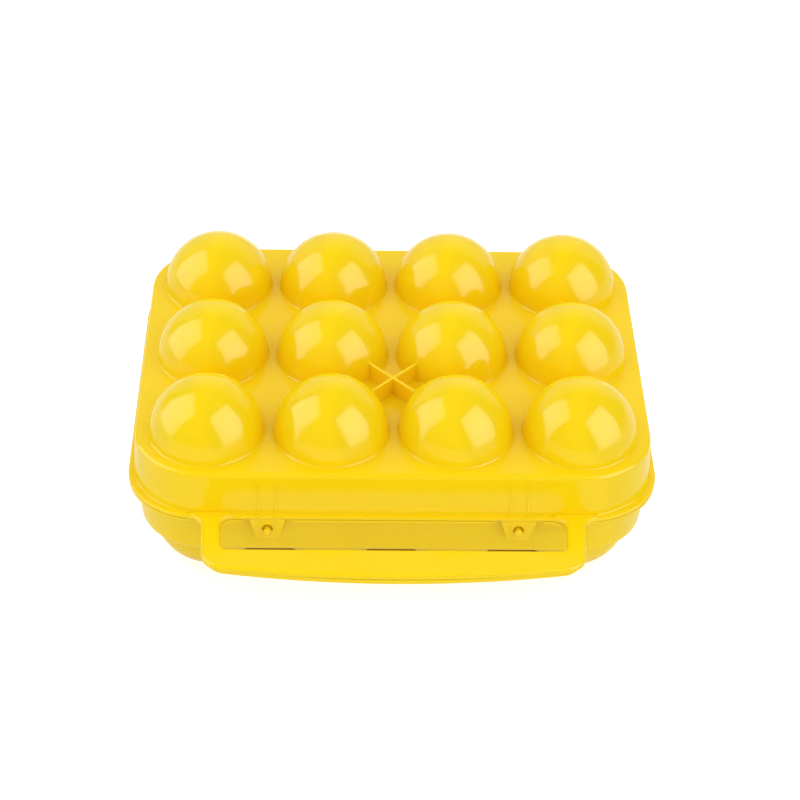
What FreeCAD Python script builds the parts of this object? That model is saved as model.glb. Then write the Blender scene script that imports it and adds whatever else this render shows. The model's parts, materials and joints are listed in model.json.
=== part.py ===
import FreeCAD, Part
import math
import os
import re

import Sketcher

# Egg carrier for twelve eggs: a base tray and a lid that are shaped alike, hinged at the back,
# each with its own half of the carrying handle in front, and held shut by two latch tabs of
# the lid that press over ball-headed studs of the base. Millimetres, +Z up, handle towards -Y.
# Every body is modelled round the parting plane, midway between the two rims, with the middle
# of the egg grid at its origin, and its placement then lifts it onto the table.

DRIVING = {
    "cell_pitch": "50",
    "column_count": "4",
    "row_count": "3",
    "dome_radius": "23.1",
    "wall_thick": "1.4",
    "dome_foot": "1.5",
    "cup_foot": "1.2",
    "deck_level": "20.5",
    "side_margin": "30",
    "front_margin": "29",
    "corner_radius": "29.5",
    "lid_draft": "3.5",
    "base_draft": "5",
    "base_inset": "0.55",
    "shoulder_fillet": "2.5",
    "land_radius": "6",
    "parting_gap": "0.3",
    "flange_thick": "1.5",
    "flange_reach": "2.1",
    "finger_gap": "19.1",
    "grip_middle": "15",
    "bow_drop": "4.5",
    "bow_inset": "1",
    "leg_inner": "68.6",
    "leg_width": "7.4",
    "leg_inset": "1.7",
    "leg_lean": "3.5",
    "loop_thick": "2.2",
    "lid_loop_round": "1.3",
    "base_loop_round": "0.5",
    "root_fillet": "5.5",
    "grip_corner": "9",
    "window_corner": "3",
    "tab_inset": "18.6",
    "tab_top": "14.4",
    "tab_bottom": "9",
    "tab_drop": "10.3",
    "tab_thick": "1.4",
    "tab_corner": "2.5",
    "hole_width": "4.2",
    "stud_level": "4.9",
    "stud_neck": "2.4",
    "stud_head": "3.3",
    "head_lift": "0.4",
    "notch_width": "20",
    "line_spacing": "6.7",
    "line_width": "0.6",
    "line_proud": "0.25",
    "line_top": "17.3",
    "line_tail": "3.2",
    "line_break": "0.5",
    "cross_rise": "7.8",
    "cross_thick": "1.2",
    "hinge_offset": "50",
    "bar_width": "3",
    "bar_clear": "0.25",
    "claw_thick": "1.3",
    "claw_width": "12",
    "mouth_start": "235",
    "mouth_end": "345",
    "claw_rise": "0.9",
    "lug_radius": "2.3",
    "lug_thick": "2.4",
    "gusset_drop": "3",
    "side_clear": "0.4",
    "swing_clear": "0.6",
}

DERIVED = {
    "half_gap": "parting_gap / 2",
    "grid_side": "(column_count - 1) * cell_pitch / 2",
    "grid_front": "(row_count - 1) * cell_pitch / 2",
    "half_width": "grid_side + side_margin",
    "half_depth": "grid_front + front_margin",
    "rim_width": "half_width + flange_reach",
    "rim_depth": "half_depth + flange_reach",
    "wall_rise": "deck_level - half_gap",
    "lid_root": "half_depth - wall_thick / 2",
    "base_root": "lid_root - base_inset",
    "dome_reach": "sqrt((dome_radius + dome_foot)^2 - dome_foot^2)",
    "cup_reach": "sqrt((dome_radius + cup_foot)^2 - cup_foot^2)",
    "land_drop": "sqrt(dome_radius^2 - land_radius^2)",
    "table_level": "deck_level + land_drop",
    "grip_inner": "rim_depth + finger_gap",
    "grip_front": "grip_inner + grip_middle",
    "lid_outer": "leg_inner + leg_width",
    "base_outer": "lid_outer - leg_inset",
    "tab_offset": "leg_inner - tab_inset",
    "bar_radius": "bar_width / 2",
    "claw_inner": "bar_radius + bar_clear",
    "claw_outer": "claw_inner + claw_thick",
    "hinge_depth": "rim_depth + claw_outer + swing_clear",
    "lug_middle": "claw_width / 2 + side_clear + lug_thick / 2",
    "back_reach": "hinge_depth + claw_outer",
    "grid_shift": "(grip_front - back_reach) / 2",
    "head_depth": "rim_depth + head_lift",
    "inner_land": "sqrt((dome_radius - wall_thick)^2 - (land_drop - wall_thick)^2)",
    "lid_bow": "(leg_inner^2 + bow_drop^2) / (2 * bow_drop)",
    "base_drop": "bow_drop + bow_inset",
    "base_bow": "(leg_inner^2 + base_drop^2) / (2 * base_drop)",
    "lean_cos": "cos(leg_lean)",
    "lean_sin": "sin(leg_lean)",
    "root_level": "rim_depth + root_fillet",
    "window_top": "root_level + root_fillet * lean_sin",
    "window_run": "(grip_inner - window_top - window_corner * (1 - lean_sin)) / lean_cos",
    "window_flare": "leg_inner - root_fillet * (1 - lean_cos)",
    "window_side": "window_flare - window_run * lean_sin - window_corner * lean_cos",
    "cross_span": "sqrt(2) * cell_pitch / 2",
    "cross_reach": "cross_span - sqrt((dome_radius - wall_thick / 2)^2 - cross_rise^2)",
    "rim_top": "half_gap + flange_thick",
    "tab_foot": "half_gap - tab_drop",
    "bar_length": "2 * lug_middle + lug_thick",
}

# The middle of each outer grip corner, measured from the middle of the bow: the corner touches
# the leaning leg and the bow, so it lies on a line beside the leg, run further from its start.
for shell_name in ("lid", "base"):
    DERIVED[f"{shell_name}_start_x"] = (
        f"{shell_name}_outer + root_fillet - (root_fillet + grip_corner) * lean_cos")
    DERIVED[f"{shell_name}_start_y"] = (
        f"grip_front - {shell_name}_bow - root_level + (root_fillet + grip_corner) * lean_sin")
    DERIVED[f"{shell_name}_off"] = (
        f"{shell_name}_start_x * lean_cos - {shell_name}_start_y * lean_sin")
    DERIVED[f"{shell_name}_run"] = (
        f"sqrt(({shell_name}_bow - grip_corner)^2 - {shell_name}_off^2)"
        f" + {shell_name}_start_x * lean_sin + {shell_name}_start_y * lean_cos")
    DERIVED[f"{shell_name}_corner_x"] = f"{shell_name}_start_x - {shell_name}_run * lean_sin"
    DERIVED[f"{shell_name}_corner_y"] = f"{shell_name}_start_y - {shell_name}_run * lean_cos"

ALIAS = re.compile(r"\b([a-z]+_[a-z_]+)\b")
SAME_PLACE = 1e-4

doc = FreeCAD.newDocument("EggCarrier")
sheet = doc.addObject("Spreadsheet::Sheet", "Sizes")


def fill_sheet():
    """Driving sizes as plain numbers in column B, worked-out sizes as formulas below them."""
    row = 0
    for alias, text in DRIVING.items():
        row += 1
        sheet.set(f"A{row}", alias)
        sheet.set(f"B{row}", text)
        sheet.setAlias(f"B{row}", alias)
    for alias, formula in DERIVED.items():
        row += 1
        sheet.set(f"A{row}", alias)
        sheet.set(f"B{row}", "=" + formula)
        sheet.setAlias(f"B{row}", alias)
    doc.recompute()


def sized(formula):
    """The formula with each size's alias pointing at the sheet."""
    return ALIAS.sub(r"Sizes.\1", formula)


def value(formula):
    """The number that a formula on the sheet's sizes gives now."""
    return float(sheet.evalExpression(sized(formula)))


def new_body(label):
    """An empty body, lifted from the parting plane to its place over the table."""
    body = doc.addObject("PartDesign::Body", label)
    body.Label = label
    body.setExpression("Placement.Base.y", sized("grid_shift"))
    body.setExpression("Placement.Base.z", sized("table_level"))
    return body


def new_sketch(body, name, role, offset="0", across="0", up="0", turn=0):
    """A sketch on one of the body's own origin planes, moved off it along the plane's normal
    by offset, moved in it by across and up, and turned about its normal by turn degrees."""
    sketch = body.newObject("Sketcher::SketchObject", name)
    plane = [item for item in body.Origin.OriginFeatures if item.Role == role][0]
    sketch.AttachmentSupport = (plane, [""])
    sketch.MapMode = "FlatFace"
    place = FreeCAD.Vector(value(across), value(up), value(offset))
    sketch.AttachmentOffset = FreeCAD.Placement(place, FreeCAD.Rotation(FreeCAD.Vector(0, 0, 1), turn))
    for axis, formula in (("x", across), ("y", up), ("z", offset)):
        sketch.setExpression(f"AttachmentOffset.Base.{axis}", sized(formula))
    return sketch


def pin(sketch, item, end, kind, formula):
    """Fixes one coordinate of an end of a line or arc to a formula on the sheet."""
    place = value(formula)
    if place < 0:
        number = sketch.addConstraint(Sketcher.Constraint(kind, item, end, -1, 1, -place))
        sketch.setExpression(f"Constraints[{number}]", sized(f"-({formula})"))
    else:
        number = sketch.addConstraint(Sketcher.Constraint(kind, -1, 1, item, end, place))
        sketch.setExpression(f"Constraints[{number}]", sized(formula))


def draw(sketch, corners):
    """A closed outline. Each corner is (across, up, bend), formulas on the sheet; bend is None
    for a straight run to the next corner, or (radius, turn) for an arc: turn is 1 where the
    arc runs anticlockwise, -1 where it runs clockwise, and 2 or -2 for the long way round."""
    points = [FreeCAD.Vector(value(across), value(up), 0) for across, up, bend in corners]
    items = []
    for place, (across, up, bend) in enumerate(corners):
        start = points[place]
        end = points[(place + 1) % len(points)]
        if bend is None:
            items.append(sketch.addGeometry(Part.LineSegment(start, end)))
            continue
        radius = value(bend[0])
        half = start.distanceToPoint(end) / 2
        rise = math.sqrt(max(radius * radius - half * half, 0))
        along = (end - start).normalize()
        left = FreeCAD.Vector(-along.y, along.x, 0)
        side = 1 if bend[1] in (1, -2) else -1
        centre = (start + end) * 0.5 + left * (rise * side)
        first, last = (start, end) if bend[1] > 0 else (end, start)
        angles = [math.atan2(spot.y - centre.y, spot.x - centre.x) for spot in (first, last)]
        if angles[1] < angles[0]:
            angles[1] += math.tau
        ring = Part.Circle(centre, FreeCAD.Vector(0, 0, 1), radius)
        items.append(sketch.addGeometry(Part.ArcOfCircle(ring, *angles)))
    ends = [(1, 2) if bend is None or bend[1] > 0 else (2, 1) for across, up, bend in corners]
    for place, item in enumerate(items):
        after = (place + 1) % len(items)
        sketch.addConstraint(
            Sketcher.Constraint("Coincident", item, ends[place][1], items[after], ends[after][0]))
    for place, (across, up, bend) in enumerate(corners):
        pin(sketch, items[place], ends[place][0], "DistanceX", across)
        pin(sketch, items[place], ends[place][0], "DistanceY", up)
        if bend is not None:
            number = sketch.addConstraint(
                Sketcher.Constraint("Radius", items[place], value(bend[0])))
            sketch.setExpression(f"Constraints[{number}]", sized(bend[0]))
    doc.recompute()


def draw_circle(sketch, across, up, radius):
    """A full circle, its middle and radius fixed by formulas on the sheet."""
    middle = FreeCAD.Vector(value(across), value(up), 0)
    item = sketch.addGeometry(Part.Circle(middle, FreeCAD.Vector(0, 0, 1), value(radius)))
    pin(sketch, item, 3, "DistanceX", across)
    pin(sketch, item, 3, "DistanceY", up)
    number = sketch.addConstraint(Sketcher.Constraint("Radius", item, value(radius)))
    sketch.setExpression(f"Constraints[{number}]", sized(radius))
    doc.recompute()


def extrude(body, kind, name, sketch, length, backwards=False, both_ways=False, taper=None):
    """A pad or pocket of the sketch; taper is in degrees, and positive where it narrows."""
    feature = body.newObject(f"PartDesign::{kind}", name)
    feature.Profile = sketch
    feature.Reversed = backwards
    if both_ways:
        feature.Midplane = True
    feature.setExpression("Length", sized(length))
    if taper is not None:
        feature.setExpression("TaperAngle", sized(f"-({taper})"))
    doc.recompute()
    return feature


def revolve(body, kind, name, sketch, axis):
    """A revolution or groove of the sketch, the whole way round one of its own axes."""
    feature = body.newObject(f"PartDesign::{kind}", name)
    feature.Profile = sketch
    feature.ReferenceAxis = (sketch, [axis])
    feature.Angle = 360
    doc.recompute()
    return feature


def round_edges(body, name, feature, radius, chosen):
    """Rounds those edges of the feature that chosen() picks."""
    names = [f"Edge{place}" for place, edge in enumerate(feature.Shape.Edges, 1) if chosen(edge)]
    fillet = body.newObject("PartDesign::Fillet", name)
    fillet.Base = (feature, names)
    fillet.setExpression("Radius", sized(radius))
    doc.recompute()
    return fillet


def rounded_plate(sketch, across, along, corner):
    """A rectangle about the origin with four equal round corners."""
    flat = f"({across}) - ({corner})"
    tall = f"({along}) - ({corner})"
    bend = (corner, 1)
    draw(sketch, [
        (f"-({flat})", f"-({along})", None),
        (flat, f"-({along})", bend),
        (across, f"-({tall})", None),
        (across, tall, bend),
        (flat, along, None),
        (f"-({flat})", along, bend),
        (f"-({across})", tall, None),
        (f"-({across})", f"-({tall})", bend),
    ])


def grid(body, name, feature):
    """Repeats the feature of the first cell over all the columns and rows."""
    pattern = body.newObject("PartDesign::LinearPattern", name)
    pattern.Originals = [feature]
    axes = {item.Role: item for item in body.Origin.OriginFeatures}
    pattern.Direction = (axes["X_Axis"], [""])
    pattern.Direction2 = (axes["Y_Axis"], [""])
    pattern.setExpression("Length", sized("2 * grid_side"))
    pattern.setExpression("Length2", sized("2 * grid_front"))
    pattern.setExpression("Occurrences", sized("column_count"))
    pattern.setExpression("Occurrences2", sized("row_count"))
    body.Tip = pattern
    doc.recompute()
    return pattern


def far_edges(feature, level, front=None):
    """Picks the feature's edges that lie wholly at one level, in front of a depth if given."""
    def chosen(edge):
        box = edge.BoundBox
        flat = max(abs(box.ZMin - level), abs(box.ZMax - level)) < SAME_PLACE
        return flat and (front is None or box.YMax < front + SAME_PLACE)
    return chosen


def handle_loop(body, side, name):
    """The half of the carrying handle that is moulded with this shell: two legs that lean
    inwards from the rim, and a grip with a bowed front, its far edges rounded for the hand."""
    outer = f"{name}_outer"
    bow = f"{name}_bow"
    root = f"{name}_root"
    flare = f"({outer} + root_fillet * (1 - lean_cos))"
    flare_level = "root_fillet * lean_sin - root_level"
    side_end = f"({name}_corner_x + grip_corner * lean_cos)"
    side_level = f"{name}_corner_y + {bow} - grip_front - grip_corner * lean_sin"
    stretch = f"({bow} / ({bow} - grip_corner))"
    bow_end = f"({name}_corner_x * {stretch})"
    bow_level = f"{name}_corner_y * {stretch} + {bow} - grip_front"
    window_end = "(window_side + window_corner * lean_cos)"
    window_level = "window_corner * (1 - lean_sin) - grip_inner"
    sketch = new_sketch(body, "LoopOutline", "XY_Plane", f"{side} * half_gap")
    draw(sketch, [
        (f"-({outer} + root_fillet)", f"-{root}", None),
        (f"-({outer} + root_fillet)", "-rim_depth", ("root_fillet", -1)),
        (f"-{flare}", flare_level, None),
        (f"-{side_end}", side_level, ("grip_corner", 1)),
        (f"-{bow_end}", bow_level, (bow, 1)),
        (bow_end, bow_level, ("grip_corner", 1)),
        (side_end, side_level, None),
        (flare, flare_level, ("root_fillet", -1)),
        (f"{outer} + root_fillet", "-rim_depth", None),
        (f"{outer} + root_fillet", f"-{root}", None),
        ("leg_inner - root_fillet", f"-{root}", None),
        ("leg_inner - root_fillet", "-rim_depth", ("root_fillet", -1)),
        ("window_flare", "-window_top", None),
        (window_end, window_level, ("window_corner", -1)),
        ("window_side", "-grip_inner", None),
        ("-window_side", "-grip_inner", ("window_corner", -1)),
        (f"-{window_end}", window_level, None),
        ("-window_flare", "-window_top", ("root_fillet", -1)),
        ("root_fillet - leg_inner", "-rim_depth", None),
        ("root_fillet - leg_inner", f"-{root}", None),
    ])
    loop = extrude(body, "Pad", "Loop", sketch, "loop_thick", backwards=side < 0)
    level = side * value("half_gap + loop_thick")
    front = -value("rim_depth")
    return round_edges(
        body, "LoopEdges", loop, f"{name}_loop_round", far_edges(loop, level, front))


def wall_and_rim(body, side, name, inset):
    """The drafted outside of the shell, still solid, with its round shoulder and its rim. At
    the parting plane the wall stands inset inside the lid's."""
    sketch = new_sketch(body, "WallOutline", "XY_Plane", f"{side} * half_gap")
    rounded_plate(
        sketch, f"half_width - {inset}", f"half_depth - {inset}", f"corner_radius - {inset}")
    wall = extrude(
        body, "Pad", "Wall", sketch, "wall_rise", backwards=side < 0, taper=f"{name}_draft")
    deck = side * value("deck_level")
    round_edges(body, "Shoulder", wall, "shoulder_fillet", far_edges(wall, deck))
    sketch = new_sketch(body, "RimOutline", "XY_Plane", f"{side} * half_gap")
    rounded_plate(sketch, "rim_width", "rim_depth", "corner_radius")
    extrude(body, "Pad", "Rim", sketch, "flange_thick", backwards=side < 0)


def cell_section(body, name, side, cell, skin, root, land):
    """Half of one egg cell's section, about the cell's own axis: a ball on a small foot
    fillet. cell is dome or cup, skin how far inside the outer face it lies, root how far under
    the deck it starts, and land the radius of its flat end, or None where the ball closes."""
    foot = f"{cell}_foot"
    reach = f"{cell}_reach"
    ball = f"(dome_radius - {skin})"
    toe = f"({foot} + {skin})"
    share = f"{ball} / (dome_radius + {foot})"
    sketch = new_sketch(body, name, "XZ_Plane", "grid_front", "-grid_side")
    corners = [
        ("0", f"{side} * (deck_level - {root})", None),
        (reach, f"{side} * (deck_level - {root})", None),
        (reach, f"{side} * (deck_level - {skin})", (toe, -side)),
        (f"{reach} * {share}", f"{side} * (deck_level + {foot} * {share})", (ball, side)),
    ]
    if land is None:
        corners.append(("0", f"{side} * (deck_level + {ball})", None))
    else:
        corners.append((land, f"{side} * (deck_level + land_drop - {skin})", None))
        corners.append(("0", f"{side} * (deck_level + land_drop - {skin})", None))
    draw(sketch, corners)
    return sketch


def latch_lines(body):
    """Two fine raised lines over each latch, down the front wall and over the rim's edge."""
    slope = "tan(lid_draft)"
    high = f"(half_depth - (line_top - half_gap) * {slope})"
    low = f"(half_depth - (flange_thick + line_proud) * {slope})"
    for number, (hand, edge) in enumerate([(-1, -1), (-1, 1), (1, -1), (1, 1)], 1):
        place = f"{hand} * tab_offset + {edge} * line_spacing / 2"
        sketch = new_sketch(body, f"LineProfile{number}", "YZ_Plane", place)
        draw(sketch, [
            (f"wall_thick / 2 - {high}", "line_top", None),
            (f"-({high} + line_proud)", "line_top", None),
            (f"-({low} + line_proud)", "rim_top + line_proud", None),
            ("-(rim_depth + line_proud)", "rim_top + line_proud", None),
            ("-(rim_depth + line_proud)", "half_gap", None),
            ("-lid_root", "half_gap", None),
        ])
        extrude(body, "Pad", f"Line{number}", sketch, "line_width", both_ways=True)


def cross_rib(body):
    """The thin cross that stands on the lid between the four middle and front domes."""
    middle = "1.5 * cell_pitch - grid_side"
    depth = "cell_pitch / 2 - grid_front"
    sketch = new_sketch(
        body, "CrossOutline", "XY_Plane", "deck_level - wall_thick / 2", middle, depth, turn=45)
    half = "cross_thick / 2"
    arm = [("cross_reach", f"-{half}"), ("cross_reach", half), (half, half)]
    corners = []
    for across, up in arm:
        corners.append((across, up, None))
    for across, up in arm:
        corners.append((f"-({up})", across, None))
    for across, up in arm:
        corners.append((f"-({across})", f"-({up})", None))
    for across, up in arm:
        corners.append((up, f"-({across})", None))
    draw(sketch, corners)
    extrude(body, "Pad", "Cross", sketch, "cross_rise + wall_thick / 2")


def hollow_out(body, side, name, inset, cell, land):
    """Cuts the inside: one drafted pocket with a round shoulder, then every cell's inside."""
    skin = f"({inset} + wall_thick)"
    sketch = new_sketch(body, "CavityOutline", "XY_Plane", f"{side} * half_gap")
    rounded_plate(
        sketch, f"half_width - {skin}", f"half_depth - {skin}", f"corner_radius - {skin}")
    cavity = extrude(
        body, "Pocket", "Cavity", sketch, "wall_rise - wall_thick", backwards=side > 0,
        taper=f"{name}_draft")
    level = side * value("deck_level - wall_thick")
    round_edges(body, "InnerShoulder", cavity, "shoulder_fillet - wall_thick", far_edges(cavity, level))
    sketch = cell_section(
        body, "CellHollowSection", side, cell, "wall_thick", "2 * wall_thick", land)
    hollow = revolve(body, "Groove", "CellHollow", sketch, "V_Axis")
    grid(body, "CellHollows", hollow)


def shell(label, name, side, inset, cell, land, inner_land):
    """The parts that lid and base share; side is 1 for the lid and -1 for the base."""
    body = new_body(label)
    handle_loop(body, side, name)
    wall_and_rim(body, side, name, inset)
    sketch = cell_section(body, "CellSection", side, cell, "0", "wall_thick / 2", land)
    shape = revolve(body, "Revolution", "Cell", sketch, "V_Axis")
    grid(body, "Cells", shape)
    if side > 0:
        cross_rib(body)
    hollow_out(body, side, name, inset, cell, inner_land)
    return body


def claw(body, hand):
    """A hook of the lid that snaps over the base's hinge bar, open downwards."""
    sketch = new_sketch(body, f"ClawProfile{hand + 2}", "YZ_Plane", f"{hand} * hinge_offset")
    top = "claw_outer"

    def spot(radius, angle):
        return f"hinge_depth + {radius} * cos({angle})", f"{radius} * sin({angle})"

    draw(sketch, [
        ("lid_root", "half_gap", None),
        ("hinge_depth - sqrt(claw_outer^2 - half_gap^2)", "half_gap", ("claw_outer", 1)),
        (*spot("claw_outer", "mouth_start"), None),
        (*spot("claw_inner", "mouth_start"), ("claw_inner", -2)),
        (*spot("claw_inner", "mouth_end"), None),
        (*spot("claw_outer", "mouth_end"), ("claw_outer", 1)),
        ("hinge_depth", top, None),
        ("lid_root", "rim_top + claw_rise", None),
    ])
    extrude(body, "Pad", f"Claw{hand + 2}", sketch, "claw_width", both_ways=True)


def hinge_bar(body, hand):
    """A round bar of the base between two lugs, which the lid's claw turns on."""
    sketch = new_sketch(body, f"BarProfile{hand + 2}", "YZ_Plane", f"{hand} * hinge_offset")
    draw_circle(sketch, "hinge_depth", "0", "bar_radius")
    for edge in (-1, 1):
        place = f"{hand} * hinge_offset + {edge} * lug_middle"
        profile = new_sketch(body, f"LugProfile{hand + 2}{edge + 2}", "YZ_Plane", place)
        draw(profile, [
            ("base_root", "-half_gap", None),
            ("hinge_depth - sqrt(lug_radius^2 - half_gap^2)", "-half_gap", ("lug_radius", -2)),
            ("hinge_depth", "-lug_radius", None),
            ("base_root", "-(lug_radius + gusset_drop)", None),
        ])
        extrude(body, "Pad", f"Lug{hand + 2}{edge + 2}", profile, "lug_thick", both_ways=True)
    extrude(body, "Pad", f"Bar{hand + 2}", sketch, "bar_length", both_ways=True)


def latch_stud(body, hand):
    """A gap in the base's rim for one latch tab, and the ball-headed stud that holds it."""
    sketch = new_sketch(
        body, f"NotchOutline{hand + 2}", "XY_Plane", "-half_gap", f"{hand} * tab_offset")
    draw(sketch, [
        ("-notch_width / 2", "-(rim_depth + flange_reach)", None),
        ("notch_width / 2", "-(rim_depth + flange_reach)", None),
        ("notch_width / 2", "base_inset - half_depth", None),
        ("-notch_width / 2", "base_inset - half_depth", None),
    ])
    extrude(body, "Pocket", f"Notch{hand + 2}", sketch, "flange_thick")
    profile = new_sketch(
        body, f"StudProfile{hand + 2}", "XY_Plane", "-stud_level", f"{hand} * tab_offset")
    back = "sqrt((stud_head / 2)^2 - (stud_neck / 2)^2)"
    draw(profile, [
        ("0", "-base_root", None),
        ("0", "-(head_depth + stud_head / 2)", ("stud_head / 2", 1)),
        ("stud_neck / 2", f"{back} - head_depth", None),
        ("stud_neck / 2", "-base_root", None),
    ])
    revolve(body, "Revolution", f"Stud{hand + 2}", profile, "V_Axis")


def latch_tab(label, hand):
    """A springy tab that hangs from the lid's rim, with the hole that takes the stud."""
    body = new_body(label)
    place = f"{hand} * tab_offset"
    sketch = new_sketch(body, "TabOutline", "XZ_Plane", "rim_depth", place)
    draw(sketch, [
        ("-tab_top / 2", "half_gap", None),
        ("-tab_bottom / 2", "tab_foot", None),
        ("tab_bottom / 2", "tab_foot", None),
        ("tab_top / 2", "half_gap", None),
    ])
    plate = extrude(body, "Pad", "Tab", sketch, "tab_thick", backwards=True)
    foot = value("tab_foot")
    through = value("tab_thick / 2")
    round_edges(
        body, "TabCorners", plate, "tab_corner",
        lambda edge: edge.BoundBox.YLength > through and abs(edge.BoundBox.ZMin - foot) < SAME_PLACE)
    hole = new_sketch(body, "HoleOutline", "XZ_Plane", "rim_depth", place)
    draw_circle(hole, "0", "-stud_level", "hole_width / 2")
    extrude(body, "Pocket", "Hole", hole, "tab_thick")
    for edge in (-1, 1):
        middle = f"{hand} * tab_offset + {edge} * line_spacing / 2"
        line = new_sketch(body, f"TabLineOutline{edge + 2}", "XZ_Plane", "rim_depth", middle)
        draw(line, [
            ("-line_width / 2", "-line_tail", None),
            ("line_width / 2", "-line_tail", None),
            ("line_width / 2", "half_gap - line_break", None),
            ("-line_width / 2", "half_gap - line_break", None),
        ])
        extrude(body, "Pad", f"TabLine{edge + 2}", line, "line_proud")
    return body


def build():
    """Builds the four bodies and returns them."""
    fill_sheet()
    base = shell("base_tray", "base", -1, "base_inset", "cup", "land_radius", "inner_land")
    for hand in (-1, 1):
        latch_stud(base, hand)
        hinge_bar(base, hand)
    lid = shell("lid", "lid", 1, "0", "dome", None, None)
    latch_lines(lid)
    for hand in (-1, 1):
        claw(lid, hand)
    left = latch_tab("latch_tab_left", -1)
    right = latch_tab("latch_tab_right", 1)
    return [base, lid, left, right]


def check_and_export(bodies):
    """Stops on any failed object, then writes one file for each body."""
    doc.recompute()
    for item in doc.Objects:
        if {"Invalid", "Error"} & set(item.State):
            raise RuntimeError(f"{item.Name} failed: {item.State}")
    os.makedirs("parts", exist_ok=True)
    for body in bodies:
        solid = body.Shape
        if solid.isNull() or not solid.isValid() or len(solid.Solids) != 1:
            raise RuntimeError(f"{body.Label} is not one sound solid")
        solid.exportStep(f"parts/{body.Label}.step")
        box = solid.BoundBox
        print(f"{body.Label}: {solid.Volume / 1000:.1f} cm3, x {box.XMin:.2f} to {box.XMax:.2f},"
              f" y {box.YMin:.2f} to {box.YMax:.2f}, z {box.ZMin:.2f} to {box.ZMax:.2f}")


check_and_export(build())
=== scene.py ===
# %% [markdown]
# # A carrier for twelve eggs
# The real thing is two glossy yellow mouldings of polypropylene, about 1.4 mm thick. A lid with
# twelve domes closes over a base with twelve cups, the two turn on snap hinges at the back, and
# in front two soft tabs press over ball-headed studs. Half of a carrying handle grows out of
# each rim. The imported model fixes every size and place, and this file gives the looks.

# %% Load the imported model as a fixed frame
import json
import math
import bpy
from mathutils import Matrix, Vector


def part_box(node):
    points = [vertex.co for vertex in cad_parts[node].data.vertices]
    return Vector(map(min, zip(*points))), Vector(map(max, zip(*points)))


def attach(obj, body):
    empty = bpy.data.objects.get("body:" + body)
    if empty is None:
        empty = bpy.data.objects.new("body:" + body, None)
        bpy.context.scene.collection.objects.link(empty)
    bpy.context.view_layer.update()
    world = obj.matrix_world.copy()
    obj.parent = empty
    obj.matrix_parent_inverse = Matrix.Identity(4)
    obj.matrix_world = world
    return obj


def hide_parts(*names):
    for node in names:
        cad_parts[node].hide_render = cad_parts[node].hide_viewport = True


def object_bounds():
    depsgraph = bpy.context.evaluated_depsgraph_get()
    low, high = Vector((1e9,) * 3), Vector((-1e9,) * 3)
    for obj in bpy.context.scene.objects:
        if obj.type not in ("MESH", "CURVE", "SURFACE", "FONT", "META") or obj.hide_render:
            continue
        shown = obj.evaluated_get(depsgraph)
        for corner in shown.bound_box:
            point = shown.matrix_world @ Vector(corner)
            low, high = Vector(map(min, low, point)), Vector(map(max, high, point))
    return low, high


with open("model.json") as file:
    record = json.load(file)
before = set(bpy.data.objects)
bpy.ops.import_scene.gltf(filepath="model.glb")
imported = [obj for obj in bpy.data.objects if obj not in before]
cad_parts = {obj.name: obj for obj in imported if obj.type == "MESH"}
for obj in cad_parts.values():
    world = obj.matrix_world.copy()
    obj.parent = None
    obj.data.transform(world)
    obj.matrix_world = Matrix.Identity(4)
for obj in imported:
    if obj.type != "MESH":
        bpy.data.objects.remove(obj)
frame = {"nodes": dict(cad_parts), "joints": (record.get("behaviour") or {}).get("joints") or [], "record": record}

from types import SimpleNamespace

import bmesh
import bpy
from mathutils import Matrix, Quaternion, Vector

cad_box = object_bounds()
print("frame:", sorted(frame["nodes"]), "box in metres:", [tuple(corner) for corner in cad_box])

# %% [markdown]
# ## Where things are
# A moulding is drawn in millimetres, so the shapes below are too, round a handy middle: the
# centre of the egg grid, on the plane where the two rims meet. Each finished piece is then
# scaled to metres and put in place once. The frame tells where that middle is. The hinge axis
# lies in the parting plane, and the box stated for the egg in each dome gives the grid.

# %% Read the middle, the grid and the joints from the frame
TO_MM = 1000.0
hinge_spot = Vector(frame["joints"][0]["pos_m"]) * TO_MM
boxes = {item["name"]: item["box_m"] for item in frame["record"]["physics"]["openings"]}
dome_spots = [
    (Vector(low) + Vector(high)) / 2 * TO_MM
    for name, (low, high) in boxes.items() if name.startswith("egg_dome")
]
columns = sorted({round(spot.x, 2) for spot in dome_spots})
rows = sorted({round(spot.y, 2) for spot in dome_spots})
PITCH = columns[1] - columns[0]
MIDDLE = Vector((sum(columns) / len(columns), sum(rows) / len(rows), hinge_spot.z))
print(f"{len(columns)} columns and {len(rows)} rows, {PITCH} mm apart, round {tuple(MIDDLE)}")

# %% [markdown]
# ## The sizes of the two shells
# These are the few sizes that the frame's boxes don't hold. They are the ones that a toolmaker
# would write on the drawing: the wall, the radii of the cells and of their feet, the draft that
# lets the moulding leave its tool, and the rim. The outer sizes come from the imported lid. Where
# lid and base differ, each has its own: the base is drawn in a little all round. The lid's
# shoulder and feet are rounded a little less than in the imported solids, because the highlights
# along them are thin.

# %% Name the shell's sizes, in millimetres
lid_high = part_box("lid")[1] * TO_MM
WALL = 1.4
DECK = 20.5
DOME = lid_high.z - MIDDLE.z - DECK
LAND = 6.0
LAND_EDGE = 1.2
HALF_GAP = 0.15
CORNER = 29.5
WALL_AWAY = 29.0
RIM_THICK = 1.5
RIM_REACH = 2.1
RIM_WIDTH = lid_high.x
HALF_WIDTH = RIM_WIDTH - RIM_REACH
HALF_DEPTH = (rows[-1] - rows[0]) / 2 + WALL_AWAY
RIM_DEPTH = HALF_DEPTH + RIM_REACH
RIM_TOP = HALF_GAP + RIM_THICK
ROOT = HALF_DEPTH - WALL / 2
LID = SimpleNamespace(
    side=1, inset=0.0, draft=math.tan(math.radians(3.5)), shoulder=1.8, foot=0.9,
    foot_run=0.28, has_land=False, leg_outer=76.0, bow_drop=4.5, loop_round=1.3)
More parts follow.
